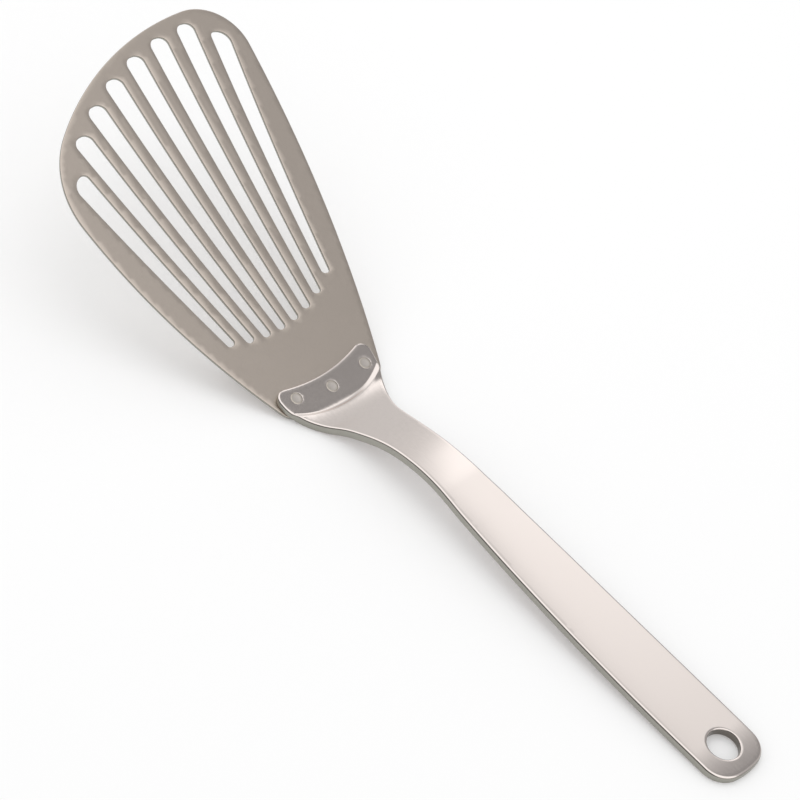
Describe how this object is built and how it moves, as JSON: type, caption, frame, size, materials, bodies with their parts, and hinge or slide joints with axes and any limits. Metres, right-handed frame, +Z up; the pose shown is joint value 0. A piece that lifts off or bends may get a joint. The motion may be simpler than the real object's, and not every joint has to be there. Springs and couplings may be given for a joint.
{
  "type": "fish spatula",
  "caption": "Slotted steel fish spatula with a slanted nose, a thin bowed blade and a bent strip handle spot-welded to it, with a hanging hole.",
  "frame": {"origin": "the middle of the hanging hole's wall, in the handle near its free end", "axes": "+X from the hanging hole to the blade's tip, +Y to the left seen from the handle, +Z up, as it rests on a table on the blade's heel and the handle's end"},
  "size_m": [0.3012, 0.092, 0.0577],
  "materials": {
    "blade_steel": "satin",
    "handle_steel": "satin",
    "weld_steel": "satin"
  },
  "bodies": {
    "root": {"blade": "blade_steel", "handle": "handle_steel", "spot_weld_left": "weld_steel", "spot_weld_centre": "weld_steel", "spot_weld_right": "weld_steel"}
  },
  "joints": []
}
